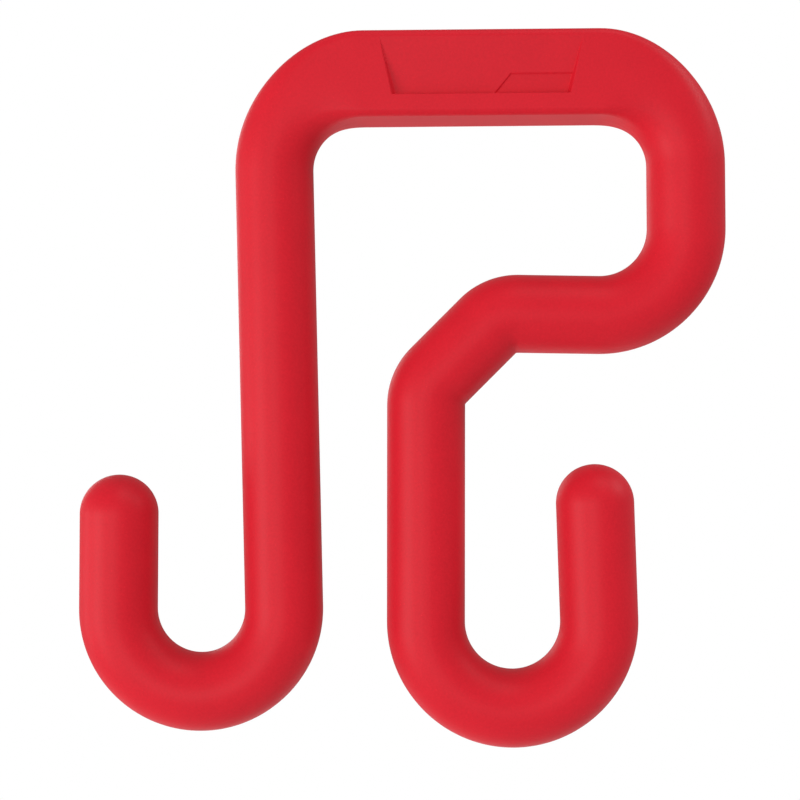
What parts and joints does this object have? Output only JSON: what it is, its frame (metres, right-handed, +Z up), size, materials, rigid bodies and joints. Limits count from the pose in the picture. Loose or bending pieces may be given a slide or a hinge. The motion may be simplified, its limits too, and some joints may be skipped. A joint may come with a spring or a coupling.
{
  "type": "bucket hook",
  "caption": "Moulded plastic hook that sits over a bucket's lip by a flat-seated bar, with an upturned hook hanging on each side of the wall.",
  "frame": {"origin": "middle of the flat seat on the underside of the top bar", "axes": "+Z up, +X along the bar towards the short column, -Y the front with the recess"},
  "size_m": [0.2116, 0.0254, 0.2319],
  "materials": {
    "red_plastic": "matte, with a fine moulded grain"
  },
  "bodies": {
    "root": {"bucket_hook": "red_plastic"}
  },
  "joints": []
}
